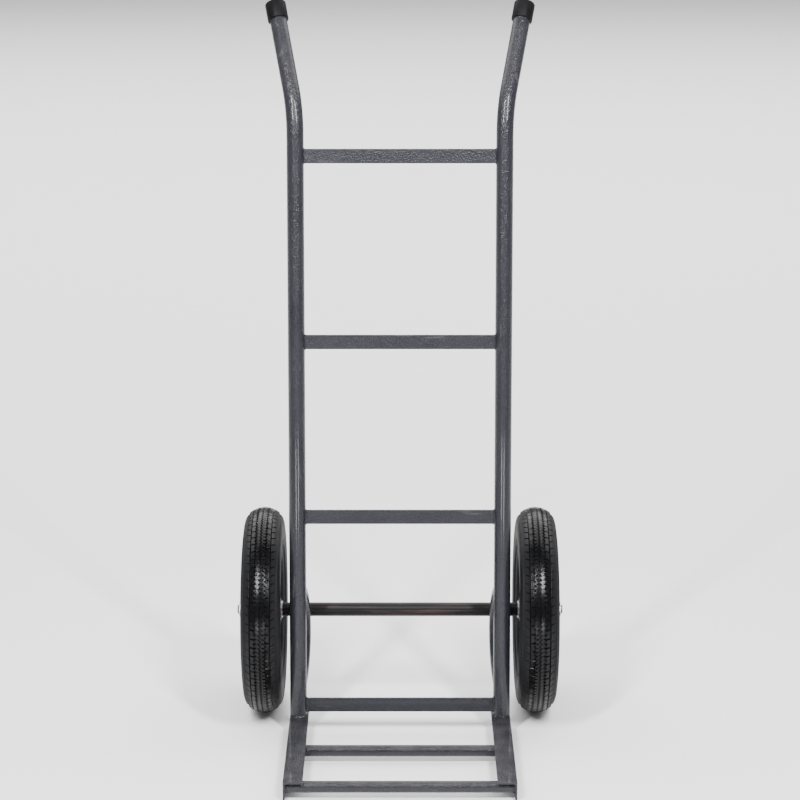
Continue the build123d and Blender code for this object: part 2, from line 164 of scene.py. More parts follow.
class HandTruckColours(bpy.types.PropertyGroup):
    enamel: colour("Enamel", "Frame enamel", (0.0108, 0.0110, 0.0150))
    enamel_light: colour("Light enamel", "Raised grain of the frame enamel", (0.0165, 0.0165, 0.0222))
    axle: colour("Axle enamel", "Enamel on the axle tube", (0.007, 0.0062, 0.007))
    # Colour of the painted reddish-brown highlight streaks along the axle tube.
    axle_painted_highlight: colour("Axle rub", "Rubbed brown marks along the axle tube", (0.046, 0.028, 0.026))
    bare_steel: colour("Bare steel", "Steel where the enamel has worn off", (0.30, 0.29, 0.28))
    rim: colour("Rim enamel", "Wheel rims and hubs", (0.014, 0.0145, 0.016))
    zinc: colour("Zinc", "Bolts, nuts and washers", (0.095, 0.098, 0.097))
    steel: colour("Steel", "Axle rod, spacers and bearings", (0.42, 0.42, 0.43))
    tyre: colour("Tyre", "Tyre rubber", (0.0022, 0.0022, 0.0028))
    cap: colour("Cap", "Handle caps", (0.0022, 0.0022, 0.0028))
    dust: colour("Dust", "Settled dust", (0.30, 0.28, 0.26))
    floor: colour("Floor", "Floor of the stage", (0.93, 0.93, 0.93))


class HandTruckStage(bpy.types.PropertyGroup):
    lens: number("Lens", "Focal length in millimetres", 112.05)
    camera_back: length("Camera distance", "In front of the feet of the side tubes", 3.983)
    camera_height: length("Camera height", "Above the floor", 1.624)
    camera_down: angle("Camera tilt", "How far the camera looks down", 14.6)
    floor_size: length("Floor size", "Side of the floor", 60.0)
    front_power: number("Front power", "Watts of each upper front light", 78.0)
    low_power: number("Low power", "Watts of each low front light", 18.0)
    floor_power: number("Floor power", "Watts over the floor behind", 1500.0)
    room: number("Room light", "Strength of the light from all round", 0.32)


# ---- modelling helpers ----


def deselect():
    for thing in bpy.context.selected_objects:
        thing.select_set(False)


def take(piece):
    """Makes a piece the only selected object and the active one."""
    deselect()
    piece.select_set(True)
    bpy.context.view_layer.objects.active = piece


def start(name):
    """Names the primitive that was just added and opens it with nothing selected."""
    piece = bpy.context.object
    take(piece)
    piece.name = name
    piece.data.name = name
    bpy.ops.object.transform_apply(location=True, rotation=True, scale=True)
    bpy.ops.object.mode_set(mode="EDIT")
    bpy.ops.mesh.select_all(action="DESELECT")
    return piece


def pick(piece, kind, test):
    """Selects the verts, edges or faces of an open piece that pass a test, and nothing else."""
    bpy.ops.mesh.select_all(action="DESELECT")
    bpy.context.tool_settings.mesh_select_mode = (kind == "verts", kind == "edges", kind == "faces")
    shape = bmesh.from_edit_mesh(piece.data)
    chosen = [thing for thing in getattr(shape, kind) if test(thing)]
    for thing in chosen:
        thing.select_set(True)
    shape.select_flush_mode()
    bmesh.update_edit_mesh(piece.data)
    if not chosen:
        raise RuntimeError(f"{piece.name}: nothing to select among its {kind}")


def shift_points(piece, rule):
    """Moves each point of an open piece to where a rule puts it."""
    shape = bmesh.from_edit_mesh(piece.data)
    for point in shape.verts:
        point.co = rule(point.co.copy())
    bmesh.update_edit_mesh(piece.data)


def extrude(step):
    bpy.ops.mesh.extrude_region_move(TRANSFORM_OT_translate={"value": tuple(step)})


def seal():
    """Merges the doubles of the open piece, turns its faces outwards and leaves edit mode."""
    bpy.ops.mesh.select_all(action="SELECT")
    bpy.ops.mesh.remove_doubles(threshold=MERGE)
    bpy.ops.mesh.normals_make_consistent(inside=False)
    bpy.ops.object.mode_set(mode="OBJECT")


def modify(piece, kind, **settings):
    """Adds a modifier, sets it and applies it."""
    take(piece)
    modifier = piece.modifiers.new(kind, kind)
    for setting, value in settings.items():
        setattr(modifier, setting, value)
    bpy.ops.object.modifier_apply(modifier=modifier.name)


def smooth(piece, angle=SMOOTH_ANGLE):
    take(piece)
    bpy.ops.object.shade_smooth_by_angle(angle=angle)


def join(name, pieces):
    take(pieces[0])
    for piece in pieces[1:]:
        piece.select_set(True)
    bpy.ops.object.join()
    pieces[0].name = name
    pieces[0].data.name = name
    return pieces[0]


def remove(piece):
    bpy.data.objects.remove(piece)


def copy_to(piece, name, place):
    """A copy with its own mesh, moved by a matrix that goes into the mesh."""
    twin = piece.copy()
    twin.data = piece.data.copy()
    twin.name = name
    twin.data.name = name
    bpy.context.scene.collection.objects.link(twin)
    twin.data.transform(place)
    if place.is_negative:
        twin.data.flip_normals()
    return twin


def finish_piece(piece, body, slot, finish, *replaced):
    """Gives a piece its finish, its material slot and the body it moves with. The slot argument is not
    used.
    """
    piece.data.materials.clear()
    piece.data.materials.append(bpy.data.materials[finish])
    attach(piece, body)
    if replaced:
        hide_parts(*replaced)


def wheel_place(side):
    """Puts a piece made round the origin, outwards along +X, at a wheel."""
    hand = "left" if side < 0 else "right"
    return Matrix.Translation(middle(f"{hand}_tyre")) @ Matrix.Scale(side, 4, (1, 0, 0))


# ---- shader helpers ----


def feed(tree, socket, source):
    """Links a socket to another node's output, or sets it to a value."""
    if isinstance(source, bpy.types.NodeSocket):
        tree.links.new(source, socket)
    else:
        socket.default_value = source


def add(tree, kind, inputs, **options):
    """Adds a node, sets its options and feeds its inputs."""
    node = tree.nodes.new(kind)
    for option, value in options.items():
        setattr(node, option, value)
    for socket, source in inputs.items():
        feed(tree, node.inputs[socket], source)
    return node


def calculate(tree, operation, first, second=0.0):
    return add(tree, "ShaderNodeMath", {0: first, 1: second}, operation=operation).outputs[0]


def spread(tree, value, low, high, new_low=0.0, new_high=1.0):
    """Maps low..high onto new_low..new_high, and holds it inside them."""
    inputs = {"Value": value, "From Min": low, "From Max": high, "To Min": new_low, "To Max": new_high}
    return add(tree, "ShaderNodeMapRange", inputs, clamp=True).outputs[0]


def mix_colours(tree, share, first, second):
    node = tree.nodes.new("ShaderNodeMix")
    node.data_type = "RGBA"
    for socket, source in zip((node.inputs[0], node.inputs[6], node.inputs[7]), (share, first, second)):
        feed(tree, socket, source)
    return node.outputs[2]


def noise(tree, vector, scale, detail=2.0, roughness=0.5):
    inputs = {"Vector": vector, "Scale": scale, "Detail": detail, "Roughness": roughness}
    return add(tree, "ShaderNodeTexNoise", inputs).outputs["Fac"]


def stretched(tree, vector, scale):
    return add(tree, "ShaderNodeMapping", {"Vector": vector, "Scale": scale}).outputs[0]


def solid(colour_property, times=1.0):
    return (*(min(1.0, channel * times) for channel in colour_property), 1.0)


def new_group(name, inputs, outputs):
    """An empty node group with its sockets. Gives the tree, its input sockets and its output sockets."""
    tree = bpy.data.node_groups.new(name, "ShaderNodeTree")
    for label, kind in inputs:
        tree.interface.new_socket(name=label, in_out="INPUT", socket_type=kind)
    for label in outputs:
        tree.interface.new_socket(name=label, in_out="OUTPUT", socket_type="NodeSocketFloat")
    return tree, tree.nodes.new("NodeGroupInput").outputs, tree.nodes.new("NodeGroupOutput").inputs


def use_group(tree, name, inputs):
    node = tree.nodes.new("ShaderNodeGroup")
    node.node_tree = bpy.data.node_groups[name]
    for socket, source in inputs.items():
        feed(tree, node.inputs[socket], source)
    return node.outputs


def new_material(name, **constants):
    """A material whose Principled BSDF has some fixed values. Gives its tree, shader and coordinates."""
    material = bpy.data.materials.new(name)
    material.use_nodes = True
    tree = material.node_tree
    shader = tree.nodes["Principled BSDF"]
    for label, value in constants.items():
        shader.inputs[label.replace("_", " ").title().replace("Ior", "IOR")].default_value = value
    place = tree.nodes.new("ShaderNodeTexCoord").outputs
    return tree, shader.inputs, place


def bump(tree, shader, height, strength, distance):
    inputs = {"Height": height, "Strength": strength, "Distance": distance}
    feed(tree, shader["Normal"], add(tree, "ShaderNodeBump", inputs).outputs[0])


# ---- shared effects ----

VECTOR = "NodeSocketVector"
FLOAT = "NodeSocketFloat"


def hammered_group():
    """Dimples and slow tone of a hammered enamel."""
    tree, given, result = new_group(
        "hammered_skin", [("Vector", VECTOR), ("Scale", FLOAT)], ["Tone", "Height"]
    )
    cells = add(
        tree,
        "ShaderNodeTexVoronoi",
        {"Vector": given["Vector"], "Scale": given["Scale"], "Smoothness": 0.6},
        feature="SMOOTH_F1",
    )
    dimples = spread(tree, cells.outputs["Distance"], 0.1, 0.75)
    fine = noise(tree, given["Vector"], calculate(tree, "MULTIPLY", given["Scale"], 2.6), 3.0, 0.6)
    slow = noise(tree, given["Vector"], calculate(tree, "MULTIPLY", given["Scale"], 0.03), 4.0, 0.6)
    height = calculate(tree, "ADD", dimples, calculate(tree, "MULTIPLY", fine, 0.45))
    slow_share = calculate(tree, "MULTIPLY", slow, 0.7)
    tone = calculate(tree, "ADD", slow_share, calculate(tree, "MULTIPLY", fine, 0.3))
    feed(tree, result["Tone"], spread(tree, tone, 0.32, 0.68))
    feed(tree, result["Height"], height)


def grain_group():
    """Fine even grain of rubber, plastic or brushed metal."""
    tree, given, result = new_group("fine_grain", [("Vector", VECTOR), ("Scale", FLOAT)], ["Grain"])
    grain = noise(tree, given["Vector"], given["Scale"], 5.0, 0.62)
    feed(tree, result["Grain"], spread(tree, grain, 0.25, 0.75))


def dust_group():
    """Dust that settles on what faces up."""
    tree, given, result = new_group(
        "settled_dust", [("Vector", VECTOR), ("Normal", VECTOR), ("Amount", FLOAT)], ["Dust"]
    )
    up = add(tree, "ShaderNodeSeparateXYZ", {0: given["Normal"]}).outputs["Z"]
    patches = spread(tree, noise(tree, given["Vector"], 34.0, 5.0, 0.65), 0.38, 0.72)
    facing = spread(tree, up, 0.25, 0.98)
    dust = calculate(tree, "MULTIPLY", calculate(tree, "MULTIPLY", patches, facing), given["Amount"])
    feed(tree, result["Dust"], dust)


def floor_rub_group():
    """Paint rubbed through near the floor, in small ragged patches."""
    tree, given, result = new_group("floor_rub", [("Vector", VECTOR), ("Reach", FLOAT)], ["Rub"])
    height = add(tree, "ShaderNodeSeparateXYZ", {0: given["Vector"]}).outputs["Z"]
    share = calculate(tree, "DIVIDE", height, given["Reach"])
    low = spread(tree, share, 0.0, 1.0, 0.32, 0.0)
    ragged = noise(tree, given["Vector"], 260.0, 6.0, 0.7)
    feed(tree, result["Rub"], spread(tree, calculate(tree, "ADD", ragged, low), 0.72, 0.80))


def scratch_group():
    """Short fine scratches that run mostly one way."""
    tree, given, result = new_group(
        "fine_scratches", [("Vector", VECTOR), ("Amount", FLOAT)], ["Scratch"]
    )
    lines = noise(tree, given["Vector"], 90.0, 3.0, 0.5)
    where = noise(tree, given["Vector"], 3.0, 2.0, 0.5)
    thin = spread(tree, lines, 0.66, 0.70)
    scratch = calculate(tree, "MULTIPLY", calculate(tree, "MULTIPLY", thin, where), given["Amount"])
    feed(tree, result["Scratch"], scratch)


# ---- finishes ----


def enamel(name, colours, dimples, rough, stretch):
    """Hammered enamel with dust, a few scratches and bare metal near the floor. Dimples gives their scale
    and depth, rough goes from the dark paint to the light, and stretch is for the scratches."""
    tree, shader, place = new_material(
        name, coat_weight=0.22, coat_roughness=0.07, specular_ior_level=0.26
    )
    skin = use_group(tree, "hammered_skin", {"Vector": place["Object"], "Scale": dimples[0]})
    dust = use_group(
        tree, "settled_dust", {"Vector": place["Object"], "Normal": place["Normal"], "Amount": 0.10}
    )["Dust"]
    rub_and_painted_highlight = use_group(tree, "floor_rub", {"Vector": place["Object"], "Reach": 0.004})["Rub"]
    scratch = use_group(
        tree, "fine_scratches", {"Vector": stretched(tree, place["Object"], stretch), "Amount": 0.35}
    )["Scratch"]
    worn = calculate(tree, "MAXIMUM", rub_and_painted_highlight, calculate(tree, "MULTIPLY", scratch, 0.5))
    paint = mix_colours(tree, skin["Tone"], solid(colours.enamel), solid(colours.enamel_light))
    marked = mix_colours(tree, worn, paint, solid(colours.bare_steel))
    feed(tree, shader["Base Color"], mix_colours(tree, dust, marked, solid(colours.dust)))
    dulled = calculate(tree, "MULTIPLY", dust, 0.4)
    gloss = spread(tree, skin["Tone"], 0.0, 1.0, *rough)
    feed(tree, shader["Roughness"], calculate(tree, "ADD", gloss, dulled))
    feed(tree, shader["Metallic"], calculate(tree, "MULTIPLY", worn, 0.8))
    bump(tree, shader, skin["Height"], 0.5, dimples[1])


def axle_enamel(colours):
    """Thin enamel on the axle tube, with a painted brown highlight line and streaks along it."""
    tree, shader, place = new_material("axle_enamel", specular_ior_level=0.16)
    skin = use_group(tree, "hammered_skin", {"Vector": place["Object"], "Scale": 420.0})
    streaks = noise(tree, stretched(tree, place["Object"], (6.0, 190.0, 190.0)), 1.0, 5.0, 0.6)
    # Mask of the painted highlight streaks that run along the axle tube, which are also made glossier.
    rub_and_painted_highlight = spread(tree, streaks, 0.52, 0.66)
    paint = mix_colours(tree, skin["Tone"], solid(colours.axle, 0.8), solid(colours.axle, 1.25))
    feed(tree, shader["Base Color"], mix_colours(tree, rub_and_painted_highlight, paint, solid(colours.axle_painted_highlight)))
    feed(tree, shader["Roughness"], spread(tree, streaks, 0.3, 0.7, 0.48, 0.30))
    bump(tree, shader, skin["Height"], 0.35, 0.0002)


def rubber(name, base, bloomed, grain_scale, rough, shine):
    """Moulded rubber with a fine grain and patches of grey bloom, lighter than the base by a factor."""
    tree, shader, place = new_material(name, specular_ior_level=shine)
    grain = use_group(tree, "fine_grain", {"Vector": place["Object"], "Scale": grain_scale})["Grain"]
    bloom = spread(tree, noise(tree, place["Object"], 26.0, 5.0, 0.65), 0.42, 0.70)
    feed(tree, shader["Base Color"], mix_colours(tree, bloom, solid(base), solid(base, bloomed)))
    half_grain = calculate(tree, "MULTIPLY", grain, 0.5)
    share = calculate(tree, "ADD", half_grain, calculate(tree, "MULTIPLY", bloom, 0.5))
    feed(tree, shader["Roughness"], spread(tree, share, 0.2, 0.8, *rough))
    bump(tree, shader, grain, 0.4, 0.0001)


TYRE_BLOOM = 1.9  # times lighter than the rubber
TREAD_SHINE_ENDS = 0.014  # from the middle of the tread
SIDEWALL_DULL_FROM = 0.024


def tyre_rubber(colours, wheel_x):
    """Tyre rubber: shiny on top of the tread, dull down the sidewalls, with a faint grey bloom."""
    tree, shader, place = new_material("tyre_rubber", specular_ior_level=0.19)
    grain = use_group(tree, "fine_grain", {"Vector": place["Object"], "Scale": 1100.0})["Grain"]
    bloom = spread(tree, noise(tree, place["Object"], 26.0, 5.0, 0.65), 0.42, 0.70)
    across = add(tree, "ShaderNodeSeparateXYZ", {0: place["Object"]}).outputs["X"]
    aside = calculate(tree, "SUBTRACT", calculate(tree, "ABSOLUTE", across), wheel_x)
    from_crown = calculate(tree, "ABSOLUTE", aside)
    sidewall = spread(tree, from_crown, TREAD_SHINE_ENDS, SIDEWALL_DULL_FROM)
    dull = calculate(tree, "ADD", sidewall, calculate(tree, "MULTIPLY", bloom, 0.2))
    greyed = solid(colours.tyre, TYRE_BLOOM)
    feed(tree, shader["Base Color"], mix_colours(tree, dull, solid(colours.tyre), greyed))
    from_grain = calculate(tree, "MULTIPLY", grain, 0.16)
    gloss = calculate(tree, "ADD", from_grain, calculate(tree, "MULTIPLY", dull, 0.42))
    feed(tree, shader["Roughness"], calculate(tree, "ADD", gloss, 0.11))
    bump(tree, shader, grain, 0.5, 0.00011)


def rim_enamel(colours):
    """Charcoal enamel of the pressed rims and hubs, dusty and a little chipped."""
    tree, shader, place = new_material("rim_enamel", specular_ior_level=0.12)
    grain = use_group(tree, "fine_grain", {"Vector": place["Object"], "Scale": 700.0})["Grain"]
    grime = spread(tree, noise(tree, place["Object"], 16.0, 6.0, 0.65), 0.45, 0.80)
    chips = spread(tree, noise(tree, place["Object"], 150.0, 4.0, 0.6), 0.74, 0.76)
    paint = mix_colours(tree, grime, solid(colours.rim), solid(colours.rim, 1.6))
    feed(tree, shader["Base Color"], mix_colours(tree, chips, paint, solid(colours.bare_steel, 0.5)))
    feed(tree, shader["Roughness"], spread(tree, grime, 0.0, 1.0, 0.64, 0.82))
    bump(tree, shader, grain, 0.25, 0.0001)


def zinc_plate(colours):
    """Zinc plate: a crystalline patchwork that leans blue in places and yellow in others."""
    tree, shader, place = new_material("zinc_plate")
    crystals = add(tree, "ShaderNodeTexVoronoi", {"Vector": place["Object"], "Scale": 520.0})
    tint = add(tree, "ShaderNodeSeparateColor", {0: crystals.outputs["Color"]}).outputs[0]
    grain = use_group(tree, "fine_grain", {"Vector": place["Object"], "Scale": 900.0})["Grain"]
    cool = (colours.zinc[0] * 0.86, colours.zinc[1] * 0.90, colours.zinc[2] * 0.98, 1.0)
    warm = (colours.zinc[0] * 1.05, colours.zinc[1], colours.zinc[2] * 0.86, 1.0)
    feed(tree, shader["Base Color"], mix_colours(tree, tint, cool, warm))
    feed(tree, shader["Roughness"], spread(tree, grain, 0.0, 1.0, 0.52, 0.72))
    feed(tree, shader["Metallic"], spread(tree, grain, 0.0, 1.0, 0.80, 0.60))
    bump(tree, shader, grain, 0.3, 0.00008)


def turned_steel(name, colours, tint, rough):
    """Drawn or ground steel, with fine lines round the axle and stained patches."""
    tree, shader, place = new_material(name)
    lines = noise(tree, stretched(tree, place["Object"], (2600.0, 60.0, 60.0)), 1.0, 3.0, 0.6)
    stain = spread(tree, noise(tree, place["Object"], 60.0, 4.0, 0.6), 0.4, 0.8)
    clean, stained = solid(colours.steel, tint), solid(colours.steel, 0.6 * tint)
    feed(tree, shader["Base Color"], mix_colours(tree, stain, clean, stained))
    feed(tree, shader["Roughness"], spread(tree, lines, 0.3, 0.7, rough, rough + 0.14))
    feed(tree, shader["Metallic"], spread(tree, stain, 0.0, 1.0, 1.0, 0.85))
    bump(tree, shader, lines, 0.2, 0.00005)


NODE_FINISHES = {
    "frame_paint": "frame_enamel",
    "axle_paint": "axle_enamel",
    "rim_paint": "rim_enamel",
    "hub_paint": "rim_enamel",
    "zinc_plate": "zinc_plate",
    "axle_steel": "drawn_steel",
    "bearing_steel": "ground_steel",
    "tyre": "tyre_rubber",
    "inner_tube": "plain_rubber",
    "handle_cap": "cap_rubber",
    "valve_rubber": "plain_rubber",
    "valve_cap": "plain_rubber",
}


class HANDTRUCK_OT_finishes(bpy.types.Operator):
    """Make every finish and put it on the frame's own nodes"""

    bl_idname = "hand_truck.finishes"
    bl_label = "Finishes"

    def execute(self, context):
        colours = context.scene.hand_truck_colours
        for build in (hammered_group, grain_group, dust_group, floor_rub_group, scratch_group):
            build()
        along_tubes, along_bars, every_way = (1.0, 1.0, 0.12), (0.12, 1.0, 1.0), (1.0, 1.0, 1.0)
        enamel("frame_enamel", colours, dimples=(360.0, 0.0011), rough=(0.26, 0.36), stretch=along_tubes)
        enamel("bar_enamel", colours, dimples=(360.0, 0.0013), rough=(0.28, 0.40), stretch=along_bars)
        enamel("weld_enamel", colours, dimples=(700.0, 0.0006), rough=(0.14, 0.26), stretch=every_way)
        axle_enamel(colours)
        tyre_rubber(colours, middle("right_tyre").x)
        rubber("cap_rubber", colours.cap, 1.8, grain_scale=1100.0, rough=(0.46, 0.64), shine=0.12)
        rubber("plain_rubber", colours.tyre, TYRE_BLOOM, grain_scale=900.0, rough=(0.45, 0.6), shine=0.3)
        rim_enamel(colours)
        zinc_plate(colours)
        turned_steel("drawn_steel", colours, tint=0.9, rough=0.28)
        turned_steel("ground_steel", colours, tint=0.35, rough=0.5)
        self.paint_nodes()
        return {"FINISHED"}

    def paint_nodes(self):
        """Each node's own material slot says which finish it takes."""
        for name, node in frame["nodes"].items():
            finish = NODE_FINISHES[node.material_slots[0].material.name.split(".")[0]]
            if name in CROSSBARS + TOE_BARS:
                finish = "bar_enamel"
            for slot in node.material_slots:
                slot.material = bpy.data.materials[finish]


# ---- camera and stage ----


class HANDTRUCK_OT_camera(bpy.types.Operator):
    """Place the camera square in front of the truck, looking a little down"""

    bl_idname = "hand_truck.camera"
    bl_label = "Camera"

    def execute(self, context):
        stage = context.scene.hand_truck_stage
        foot = tube_foot(1, context.scene.hand_truck_sizes.tube_radius)
        bpy.ops.object.camera_add(
            location=(0, foot.y - stage.camera_back, stage.camera_height),
            rotation=(math.pi / 2 - stage.camera_down, 0, 0),
        )
        camera = context.object
        camera.name = "camera"
        camera.data.lens = stage.lens
        camera.data.dof.use_dof = False
        context.scene.camera = camera
        return {"FINISHED"}


# Places of the right-hand lights: the left-hand ones mirror them.
FRONT_LIGHT = Vector((0.75, -1.5, 2.15))
LOW_LIGHT = Vector((0.95, -3.4, 0.14))
FLOOR_LIGHT = Vector((0, 5.5, 4.2))
HANDLE_BENDS = (0, 0.1, 1.05)  # what the front lights face
TUBE_FEET = (0, 0, 0.3)  # what the low lights face


def soft_light(name, place, target, width, height, power):
    """A rectangular light that faces a point."""
    facing = (Vector(target) - Vector(place)).to_track_quat("-Z", "Y").to_euler()
    bpy.ops.object.light_add(type="AREA", location=place, rotation=facing)
    light = bpy.context.object
    light.name = name
    light.data.shape = "RECTANGLE"
    light.data.size = width
    light.data.size_y = height
    light.data.energy = power
    light.visible_camera = False


class HANDTRUCK_OT_stage(bpy.types.Operator):
    """Lay a pale floor and set soft lights round the truck"""

    bl_idname = "hand_truck.stage"
    bl_label = "Floor and lights"

    def execute(self, context):
        stage = context.scene.hand_truck_stage
        deselect()
        bpy.ops.mesh.primitive_plane_add(size=stage.floor_size, location=(0, 0, 0))
        floor = start("floor")
        bpy.ops.object.mode_set(mode="OBJECT")
        tree, shader, place = new_material("floor", specular_ior_level=0.2)
        pale = context.scene.hand_truck_colours.floor
        patches = noise(tree, place["Object"], 1.5, 3.0, 0.5)
        feed(tree, shader["Base Color"], mix_colours(tree, patches, solid(pale), solid(pale, 0.985)))
        feed(tree, shader["Roughness"], spread(tree, patches, 0.0, 1.0, 0.75, 0.85))
        floor.data.materials.append(bpy.data.materials["floor"])

        for hand, side in SIDES.items():
            spot = mirrored(FRONT_LIGHT, side)
            soft_light(f"{hand}_front_light", spot, HANDLE_BENDS, 0.15, 1.0, stage.front_power)
        for hand, side in SIDES.items():
            spot = mirrored(LOW_LIGHT, side)
            soft_light(f"{hand}_low_light", spot, TUBE_FEET, 0.6, 0.26, stage.low_power)
        below = (FLOOR_LIGHT.x, FLOOR_LIGHT.y, 0)
        soft_light("floor_light", FLOOR_LIGHT, below, 14.0, 10.0, stage.floor_power)

        world = bpy.data.worlds.new("room")
        world.use_nodes = True
        sky = world.node_tree.nodes["Background"]
        sky.inputs["Color"].default_value = (1.0, 1.0, 1.0, 1.0)
        sky.inputs["Strength"].default_value = stage.room
        context.scene.world = world
        return {"FINISHED"}


# ---- tyres ----

ROWS = (0.0, 0.10, 0.25, 0.5, 0.60, 0.75, 1.0)  # where the rows of a pitch start and end, in pitches
FIRST_SLOT = 0  # the rows that are cut through to part one block from the next
SECOND_SLOT = 3


def tread_columns(tyre):
    """Edges of the ribs, blocks and grooves on one side of the tread, and whether each zigzags."""
    crown = (tyre.shoulder**2 + tyre.crown_drop**2) / (2 * tyre.crown_drop)
    edge = crown * math.asin(tyre.shoulder / crown)
    half = [
        (tyre.groove / 2, 1),
        (tyre.rib_middle, 1),
        (tyre.rib_edge, 1),
        (tyre.rib_edge + tyre.groove, 1),
        (tyre.block_edge, 0),
        (tyre.block_edge + tyre.groove, 0),
        (tyre.shoulder_edge, 0),
        (edge, 0),
    ]
    return [(-place, wave) for place, wave in reversed(half)] + half, crown


# Strips across the tread that stand up, each with the rows in which it is cut through.
RAISED = {
    1: (SECOND_SLOT,),
    3: (FIRST_SLOT,),
    5: (FIRST_SLOT, SECOND_SLOT),
    6: (),
    8: (),
    9: (FIRST_SLOT, SECOND_SLOT),
    11: (SECOND_SLOT,),
    13: (FIRST_SLOT,),
}


SIDEWALL_RINGS = {0.1600: 0.0005, 0.1555: 0.0004, 0.1245: 0.0006, 0.1212: 0.0004}  # radius: height
RING_HALF_WIDTH = 0.0007
BELOW_SHOULDER = 0.0036  # from the edge of the tread down to the top of the sidewall
OUTER_STEPS = 14
INNER_STEPS = 5


def sidewall_outline(tyre, radius, half_width):
    """Points (across, radius) down the outside of one side of the tyre, round the bead and up inside."""

    def outside(at):
        round_over = math.sqrt(tyre.sidewall_round**2 - (at - tyre.belly) ** 2)
        return half_width - tyre.sidewall_round + round_over

    top = radius - tyre.crown_drop - BELOW_SHOULDER
    heights = {top + (tyre.bead_top - top) * step / OUTER_STEPS: 0.0 for step in range(OUTER_STEPS + 1)}
    for at, proud in SIDEWALL_RINGS.items():
        heights = {h: p for h, p in heights.items() if abs(h - at) > 2.2 * RING_HALF_WIDTH}
        for place, rise in ((-1.6, 0), (-0.7, proud), (0.7, proud), (1.6, 0)):
            heights[at + place * RING_HALF_WIDTH] = rise
    points = [(outside(at) + heights[at], at) for at in sorted(heights, reverse=True)]

    bead_in = tyre.bead_out - tyre.bead_width
    bead_inside = tyre.bead_radius + tyre.bead_width
    points += [
        (tyre.bead_out, tyre.bead_radius + 0.0022),
        (tyre.bead_out - 0.0006, tyre.bead_radius + 0.0006),
        (tyre.bead_out - 0.0022, tyre.bead_radius),
        (bead_in, tyre.bead_radius),
        (bead_in, bead_inside),
    ]
    for step in range(1, INNER_STEPS + 1):
        share = step / INNER_STEPS
        at = bead_inside + (tyre.belly - bead_inside) * share
        across = bead_in + (half_width - tyre.wall - bead_in) * math.sin(share * math.pi / 2)
        points.append((across, at))
    shoulder = tyre.shoulder - tyre.wall
    shoulder_radius = radius - tyre.crown_drop - tyre.wall
    points.append((half_width - tyre.wall - 0.002, (tyre.belly + shoulder_radius) / 2))
    points.append((shoulder, shoulder_radius))
    crown_inside = radius - tyre.cap_wall
    for step in range(1, INNER_STEPS + 1):
        share = 1 - step / INNER_STEPS
        points.append((shoulder * share, crown_inside - (crown_inside - shoulder_radius) * share**2))
    return points


def make_tyre(tyre, radius, half_width):
    """A tyre round the origin with its axle along X. One pitch of tread is cut, both sidewalls are drawn
    down from its shoulders, and the strip is repeated and rolled up."""
    columns, crown = tread_columns(tyre)
    cells = len(columns) - 1
    rows = len(ROWS) - 1
    pitch = 2 * math.pi * radius / tyre.pitches
    low_top = tyre.tread_depth - tyre.edge_round

    deselect()
    bpy.ops.mesh.primitive_grid_add(x_subdivisions=cells, y_subdivisions=rows, size=1)
    piece = start("tyre")

    def cell_of(at):
        return int((at.x + 0.5) * cells), int((at.y + 0.5) * rows)

    def is_raised(face):
        column, row = cell_of(face.calc_center_median())
        return column in RAISED and row not in RAISED[column]

    def is_inner_wall(face):
        at = face.calc_center_median()
        column = int((at.x + 0.5) * cells)
        ends = abs(face.normal.y) > 0.9 and abs(abs(at.y) - 0.5) < MERGE
        return ends and FIRST_SLOT not in RAISED[column]

    pick(piece, "faces", is_raised)
    extrude((0, 0, low_top))
    pick(piece, "faces", is_inner_wall)
    bpy.ops.mesh.delete(type="ONLY_FACE")

    def lay_out(co):
        place, wave = columns[round((co.x + 0.5) * cells)]
        share = ROWS[round((co.y + 0.5) * rows)]
        swing = 1 - 4 * abs((2 * share) % 1 - 0.5)
        lean = tyre.slant * max(0.0, abs(place) - tyre.block_edge - tyre.groove)
        return Vector((place - wave * tyre.zigzag * swing, share * pitch + lean, co.z))

    shift_points(piece, lay_out)
    pick(piece, "faces", lambda face: face.calc_center_median().z > low_top - MERGE)
    bpy.ops.mesh.inset(thickness=tyre.edge_round, depth=tyre.edge_round, use_boundary=False)

    def crown_over(co):
        turn = co.x / crown
        reach = crown - tyre.tread_depth + co.z
        return Vector((reach * math.sin(turn), co.y, radius - crown + reach * math.cos(turn)))

    shift_points(piece, crown_over)
    edge_turn = columns[-1][0] / crown
    floor_reach = crown - tyre.tread_depth
    edge = (floor_reach * math.sin(edge_turn), radius - crown + floor_reach * math.cos(edge_turn))
    outline = sidewall_outline(tyre, radius, half_width)
    for side in SIDES.values():
        pick(piece, "edges", lambda e: all(abs(v.co.x - side * edge[0]) < MERGE for v in e.verts))
        last = edge
        for point in outline:
            extrude((side * (point[0] - last[0]), 0, point[1] - last[1]))
            last = point
    bpy.ops.object.mode_set(mode="OBJECT")

    modify(
        piece,
        "ARRAY",
        count=tyre.pitches,
        use_relative_offset=False,
        use_constant_offset=True,
        constant_offset_displace=(0, pitch, 0),
        use_merge_vertices=True,
        merge_threshold=MERGE,
    )
    bpy.ops.object.mode_set(mode="EDIT")

    def roll_up(co):
        turn = co.y / radius
        return Vector((co.x, co.z * math.sin(turn), co.z * math.cos(turn)))

    shift_points(piece, roll_up)
    seal()
    smooth(piece)
    return piece


class HANDTRUCK_OT_tyres(bpy.types.Operator):
    """Make both tyres, with their cut tread and ribbed sidewalls"""

    bl_idname = "hand_truck.tyres"
    bl_label = "Tyres"

    def execute(self, context):
        low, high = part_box("right_tyre")
        pattern = make_tyre(context.scene.hand_truck_tyre, (high.z - low.z) / 2, (high.x - low.x) / 2)
        for hand, side in SIDES.items():
            piece = copy_to(pattern, f"{hand}_tread_tyre", wheel_place(side))
            finish_piece(piece, f"{hand}_wheel", "tyre", "tyre_rubber", f"{hand}_tyre")
        remove(pattern)
        return {"FINISHED"}


# ---- welds ----


RIPPLE_RINGS = 5  # rings of points to a ripple
BEAD_HEIGHT = 0.75  # of half its width
BEAD_START = 0.1  # radius of the torus that a bead starts as


